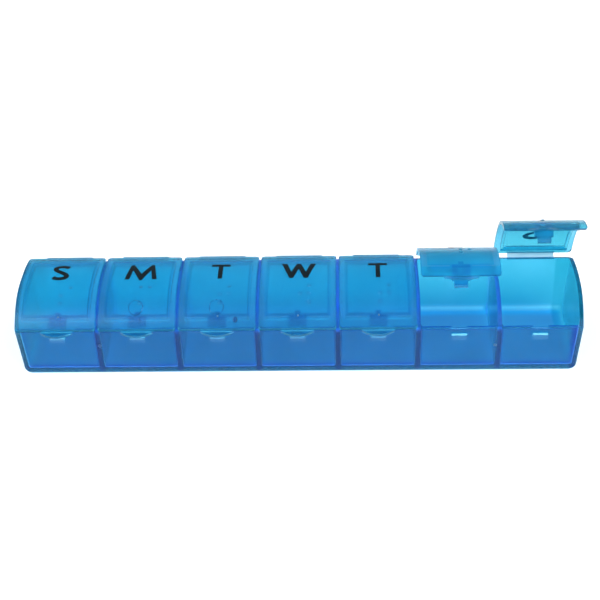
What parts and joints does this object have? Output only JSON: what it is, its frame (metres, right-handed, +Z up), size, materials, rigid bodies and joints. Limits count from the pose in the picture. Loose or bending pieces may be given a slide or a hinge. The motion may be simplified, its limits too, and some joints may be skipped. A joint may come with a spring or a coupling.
{
  "type": "pill organizer",
  "caption": "Translucent box with a row of compartments, each with an arched snap lid on its own living hinge, for a week of pills.",
  "frame": {"origin": "centre of the flat underside of the tray", "axes": "+X along the row of compartments from the first day to the last, +Y from the latch side to the hinge side, +Z up"},
  "size_m": [0.2166, 0.044, 0.0593],
  "materials": {
    "blue_plastic": "translucent moulded polypropylene",
    "pale_hinge": "thin stress-whitened polypropylene",
    "black_print": "pad-printed ink"
  },
  "bodies": {
    "tray": {"tray": "blue_plastic"},
    "lid_sunday": {"lid_sunday": "blue_plastic", "letter_sunday": "black_print", "hinge_sunday": "pale_hinge"},
    "lid_monday": {"lid_monday": "blue_plastic", "letter_monday": "black_print", "hinge_monday": "pale_hinge"},
    "lid_tuesday": {"lid_tuesday": "blue_plastic", "letter_tuesday": "black_print", "hinge_tuesday": "pale_hinge"},
    "lid_wednesday": {"lid_wednesday": "blue_plastic", "letter_wednesday": "black_print", "hinge_wednesday": "pale_hinge"},
    "lid_thursday": {"lid_thursday": "blue_plastic", "letter_thursday": "black_print", "hinge_thursday": "pale_hinge"},
    "lid_friday": {"lid_friday": "blue_plastic", "letter_friday": "black_print", "hinge_friday": "pale_hinge"},
    "lid_saturday": {"lid_saturday": "blue_plastic", "letter_saturday": "black_print", "hinge_saturday": "pale_hinge"}
  },
  "joints": [
    {"name": "sunday_lid_hinge", "type": "hinge", "parent": "tray", "child": "lid_sunday", "pos_m": [-0.0918, 0.021, 0.0266], "axis": [-1, 0, 0], "range_deg": [0, 180], "deforming": ["hinge_sunday"]},
    {"name": "monday_lid_hinge", "type": "hinge", "parent": "tray", "child": "lid_monday", "pos_m": [-0.0612, 0.021, 0.0266], "axis": [-1, 0, 0], "range_deg": [0, 180], "deforming": ["hinge_monday"]},
    {"name": "tuesday_lid_hinge", "type": "hinge", "parent": "tray", "child": "lid_tuesday", "pos_m": [-0.0306, 0.021, 0.0266], "axis": [-1, 0, 0], "range_deg": [0, 180], "deforming": ["hinge_tuesday"]},
    {"name": "wednesday_lid_hinge", "type": "hinge", "parent": "tray", "child": "lid_wednesday", "pos_m": [0, 0.021, 0.0266], "axis": [-1, 0, 0], "range_deg": [0, 180], "deforming": ["hinge_wednesday"]},
    {"name": "thursday_lid_hinge", "type": "hinge", "parent": "tray", "child": "lid_thursday", "pos_m": [0.0306, 0.021, 0.0266], "axis": [-1, 0, 0], "range_deg": [0, 180], "deforming": ["hinge_thursday"]},
    {"name": "friday_lid_hinge", "type": "hinge", "parent": "tray", "child": "lid_friday", "pos_m": [0.0612, 0.021, 0.0266], "axis": [-1, 0, 0], "range_deg": [-31.1, 148.9], "deforming": ["hinge_friday"]},
    {"name": "saturday_lid_hinge", "type": "hinge", "parent": "tray", "child": "lid_saturday", "pos_m": [0.0918, 0.021, 0.0266], "axis": [-1, 0, 0], "range_deg": [-54.8, 125.2], "deforming": ["hinge_saturday"]}
  ]
}
